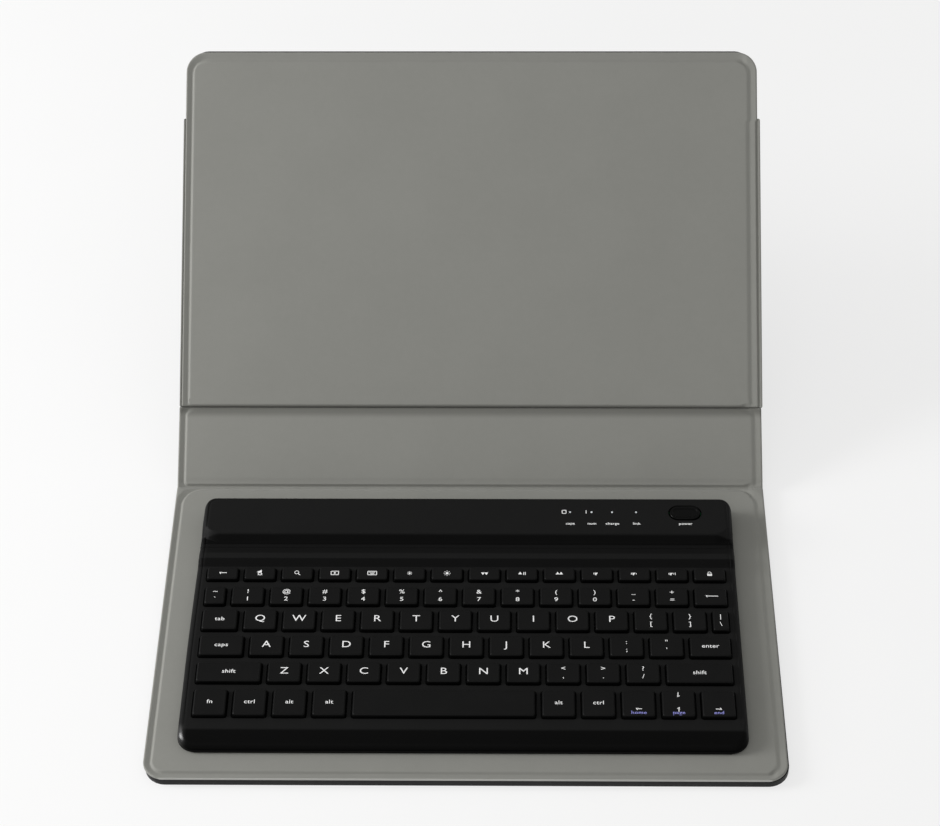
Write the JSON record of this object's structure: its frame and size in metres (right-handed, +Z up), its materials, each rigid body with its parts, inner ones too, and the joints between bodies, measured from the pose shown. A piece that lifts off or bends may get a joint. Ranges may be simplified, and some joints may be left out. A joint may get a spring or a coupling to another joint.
{
  "type": "tablet keyboard case",
  "caption": "Folding tablet cover lying open: front panel with a lift-off wireless keyboard, a tilted spine panel, and a rear panel that carries a hinged tablet plate.",
  "frame": {"origin": "middle of the front panel's underside, on the table", "axes": "+Y from the front edge to the folds and the rear panel, +Z up, +X to the user's right"},
  "size_m": [0.264, 0.3259, 0.1279],
  "materials": {
    "cover_skin": "fine-grained black polyurethane skin",
    "lining": "smooth warm-grey microfibre lining",
    "stiffener": "grey board",
    "housing": "satin black plastic",
    "keycap": "satin black keycaps",
    "membrane": "translucent silicone sheet",
    "circuit": "green laminate",
    "battery_wrap": "silver pouch",
    "socket_metal": "plated steel",
    "light_guide": "clear light guide",
    "magnet_rubber": "flexible magnet strip"
  },
  "bodies": {
    "front_panel": {"front_cover": "cover_skin", "front_board": "stiffener", "front_lining": "lining"},
    "spine": {"spine_cover": "cover_skin", "spine_board": "stiffener", "spine_lining": "lining"},
    "rear_panel": {"rear_cover": "cover_skin", "rear_board": "cover_skin"},
    "tablet_plate": {"plate_cover": "cover_skin", "plate_board": "stiffener", "plate_lining": "lining"},
    "keyboard": {"keyboard_top_case": "housing", "keyboard_bottom_case": "housing", "key_membrane": "membrane", "circuit_board": "circuit", "battery": "battery_wrap", "charging_socket": "socket_metal", "indicator_light_guide": "light_guide", "magnet_strip_front": "magnet_rubber", "magnet_strip_rear": "magnet_rubber"},
    "power_button": {"power_button": "keycap"},
    "key_q": {"key_q": "keycap"},
    "key_w": {"key_w": "keycap"},
    "key_e": {"key_e": "keycap"},
    "key_r": {"key_r": "keycap"},
    "key_t": {"key_t": "keycap"},
    "key_y": {"key_y": "keycap"},
    "key_u": {"key_u": "keycap"},
    "key_i": {"key_i": "keycap"},
    "key_o": {"key_o": "keycap"},
    "key_p": {"key_p": "keycap"},
    "key_a": {"key_a": "keycap"},
    "key_s": {"key_s": "keycap"},
    "key_d": {"key_d": "keycap"},
    "key_f": {"key_f": "keycap"},
    "key_g": {"key_g": "keycap"},
    "key_h": {"key_h": "keycap"},
    "key_j": {"key_j": "keycap"},
    "key_k": {"key_k": "keycap"},
    "key_l": {"key_l": "keycap"},
    "key_z": {"key_z": "keycap"},
    "key_x": {"key_x": "keycap"},
    "key_c": {"key_c": "keycap"},
    "key_v": {"key_v": "keycap"},
    "key_b": {"key_b": "keycap"},
    "key_n": {"key_n": "keycap"},
    "key_m": {"key_m": "keycap"},
    "key_tab": {"key_tab": "keycap"},
    "key_caps_lock": {"key_caps_lock": "keycap"},
    "key_enter": {"key_enter": "keycap"},
    "key_shift_left": {"key_shift_left": "keycap"},
    "key_shift_right": {"key_shift_right": "keycap"},
    "key_space": {"key_space": "keycap"},
    "keys_function_row": {"keys_function_row": "keycap"},
    "keys_number_row": {"keys_number_row": "keycap"},
    "keys_brackets": {"keys_brackets": "keycap"},
    "keys_quotes": {"keys_quotes": "keycap"},
    "keys_punctuation": {"keys_punctuation": "keycap"},
    "keys_modifiers_left": {"keys_modifiers_left": "keycap"},
    "keys_modifiers_right": {"keys_modifiers_right": "keycap"}
  },
  "joints": [
    {"name": "lower_fold", "type": "hinge", "parent": "front_panel", "child": "spine", "pos_m": [0, 0.0825, 0.0043], "axis": [-1, 0, 0], "range_deg": [-56, 34]},
    {"name": "upper_fold", "type": "hinge", "parent": "spine", "child": "rear_panel", "pos_m": [0, 0.11235, 0.02443], "axis": [-1, 0, 0], "range_deg": [-85, 5]},
    {"name": "plate_hinge", "type": "hinge", "parent": "rear_panel", "child": "tablet_plate", "pos_m": [0, 0.21938, 0.10519], "axis": [-1, 0, 0], "range_deg": [0, 30]},
    {"name": "keyboard_lift", "type": "slide", "parent": "front_panel", "child": "keyboard", "axis": [0, 0, 1], "range_m": [0, 0.045]},
    {"name": "power_button_press", "type": "slide", "parent": "keyboard", "child": "power_button", "axis": [0, 0, -1], "range_m": [0, 0.0005], "stiffness_N_per_m": 600},
    {"name": "key_q_press", "type": "slide", "parent": "keyboard", "child": "key_q", "axis": [0, 0, -1], "range_m": [0, 0.0014], "stiffness_N_per_m": 300},
    {"name": "key_w_press", "type": "slide", "parent": "keyboard", "child": "key_w", "axis": [0, 0, -1], "range_m": [0, 0.0014], "stiffness_N_per_m": 300},
    {"name": "key_e_press", "type": "slide", "parent": "keyboard", "child": "key_e", "axis": [0, 0, -1], "range_m": [0, 0.0014], "stiffness_N_per_m": 300},
    {"name": "key_r_press", "type": "slide", "parent": "keyboard", "child": "key_r", "axis": [0, 0, -1], "range_m": [0, 0.0014], "stiffness_N_per_m": 300},
    {"name": "key_t_press", "type": "slide", "parent": "keyboard", "child": "key_t", "axis": [0, 0, -1], "range_m": [0, 0.0014], "stiffness_N_per_m": 300},
    {"name": "key_y_press", "type": "slide", "parent": "keyboard", "child": "key_y", "axis": [0, 0, -1], "range_m": [0, 0.0014], "stiffness_N_per_m": 300},
    {"name": "key_u_press", "type": "slide", "parent": "keyboard", "child": "key_u", "axis": [0, 0, -1], "range_m": [0, 0.0014], "stiffness_N_per_m": 300},
    {"name": "key_i_press", "type": "slide", "parent": "keyboard", "child": "key_i", "axis": [0, 0, -1], "range_m": [0, 0.0014], "stiffness_N_per_m": 300},
    {"name": "key_o_press", "type": "slide", "parent": "keyboard", "child": "key_o", "axis": [0, 0, -1], "range_m": [0, 0.0014], "stiffness_N_per_m": 300},
    {"name": "key_p_press", "type": "slide", "parent": "keyboard", "child": "key_p", "axis": [0, 0, -1], "range_m": [0, 0.0014], "stiffness_N_per_m": 300},
    {"name": "key_a_press", "type": "slide", "parent": "keyboard", "child": "key_a", "axis": [0, 0, -1], "range_m": [0, 0.0014], "stiffness_N_per_m": 300},
    {"name": "key_s_press", "type": "slide", "parent": "keyboard", "child": "key_s", "axis": [0, 0, -1], "range_m": [0, 0.0014], "stiffness_N_per_m": 300},
    {"name": "key_d_press", "type": "slide", "parent": "keyboard", "child": "key_d", "axis": [0, 0, -1], "range_m": [0, 0.0014], "stiffness_N_per_m": 300},
    {"name": "key_f_press", "type": "slide", "parent": "keyboard", "child": "key_f", "axis": [0, 0, -1], "range_m": [0, 0.0014], "stiffness_N_per_m": 300},
    {"name": "key_g_press", "type": "slide", "parent": "keyboard", "child": "key_g", "axis": [0, 0, -1], "range_m": [0, 0.0014], "stiffness_N_per_m": 300},
    {"name": "key_h_press", "type": "slide", "parent": "keyboard", "child": "key_h", "axis": [0, 0, -1], "range_m": [0, 0.0014], "stiffness_N_per_m": 300},
    {"name": "key_j_press", "type": "slide", "parent": "keyboard", "child": "key_j", "axis": [0, 0, -1], "range_m": [0, 0.0014], "stiffness_N_per_m": 300},
    {"name": "key_k_press", "type": "slide", "parent": "keyboard", "child": "key_k", "axis": [0, 0, -1], "range_m": [0, 0.0014], "stiffness_N_per_m": 300},
    {"name": "key_l_press", "type": "slide", "parent": "keyboard", "child": "key_l", "axis": [0, 0, -1], "range_m": [0, 0.0014], "stiffness_N_per_m": 300},
    {"name": "key_z_press", "type": "slide", "parent": "keyboard", "child": "key_z", "axis": [0, 0, -1], "range_m": [0, 0.0014], "stiffness_N_per_m": 300},
    {"name": "key_x_press", "type": "slide", "parent": "keyboard", "child": "key_x", "axis": [0, 0, -1], "range_m": [0, 0.0014], "stiffness_N_per_m": 300},
    {"name": "key_c_press", "type": "slide", "parent": "keyboard", "child": "key_c", "axis": [0, 0, -1], "range_m": [0, 0.0014], "stiffness_N_per_m": 300},
    {"name": "key_v_press", "type": "slide", "parent": "keyboard", "child": "key_v", "axis": [0, 0, -1], "range_m": [0, 0.0014], "stiffness_N_per_m": 300},
    {"name": "key_b_press", "type": "slide", "parent": "keyboard", "child": "key_b", "axis": [0, 0, -1], "range_m": [0, 0.0014], "stiffness_N_per_m": 300},
    {"name": "key_n_press", "type": "slide", "parent": "keyboard", "child": "key_n", "axis": [0, 0, -1], "range_m": [0, 0.0014], "stiffness_N_per_m": 300},
    {"name": "key_m_press", "type": "slide", "parent": "keyboard", "child": "key_m", "axis": [0, 0, -1], "range_m": [0, 0.0014], "stiffness_N_per_m": 300},
    {"name": "key_tab_press", "type": "slide", "parent": "keyboard", "child": "key_tab", "axis": [0, 0, -1], "range_m": [0, 0.0014], "stiffness_N_per_m": 300},
    {"name": "key_caps_lock_press", "type": "slide", "parent": "keyboard", "child": "key_caps_lock", "axis": [0, 0, -1], "range_m": [0, 0.0014], "stiffness_N_per_m": 300},
    {"name": "key_enter_press", "type": "slide", "parent": "keyboard", "child": "key_enter", "axis": [0, 0, -1], "range_m": [0, 0.0014], "stiffness_N_per_m": 300},
    {"name": "key_shift_left_press", "type": "slide", "parent": "keyboard", "child": "key_shift_left", "axis": [0, 0, -1], "range_m": [0, 0.0014], "stiffness_N_per_m": 300},
    {"name": "key_shift_right_press", "type": "slide", "parent": "keyboard", "child": "key_shift_right", "axis": [0, 0, -1], "range_m": [0, 0.0014], "stiffness_N_per_m": 300},
    {"name": "key_space_press", "type": "slide", "parent": "keyboard", "child": "key_space", "axis": [0, 0, -1], "range_m": [0, 0.0014], "stiffness_N_per_m": 300},
    {"name": "keys_function_row_press", "type": "slide", "parent": "keyboard", "child": "keys_function_row", "axis": [0, 0, -1], "range_m": [0, 0.0014], "stiffness_N_per_m": 600},
    {"name": "keys_number_row_press", "type": "slide", "parent": "keyboard", "child": "keys_number_row", "axis": [0, 0, -1], "range_m": [0, 0.0014], "stiffness_N_per_m": 600},
    {"name": "keys_brackets_press", "type": "slide", "parent": "keyboard", "child": "keys_brackets", "axis": [0, 0, -1], "range_m": [0, 0.0014], "stiffness_N_per_m": 600},
    {"name": "keys_quotes_press", "type": "slide", "parent": "keyboard", "child": "keys_quotes", "axis": [0, 0, -1], "range_m": [0, 0.0014], "stiffness_N_per_m": 600},
    {"name": "keys_punctuation_press", "type": "slide", "parent": "keyboard", "child": "keys_punctuation", "axis": [0, 0, -1], "range_m": [0, 0.0014], "stiffness_N_per_m": 600},
    {"name": "keys_modifiers_left_press", "type": "slide", "parent": "keyboard", "child": "keys_modifiers_left", "axis": [0, 0, -1], "range_m": [0, 0.0014], "stiffness_N_per_m": 600},
    {"name": "keys_modifiers_right_press", "type": "slide", "parent": "keyboard", "child": "keys_modifiers_right", "axis": [0, 0, -1], "range_m": [0, 0.0014], "stiffness_N_per_m": 600}
  ]
}
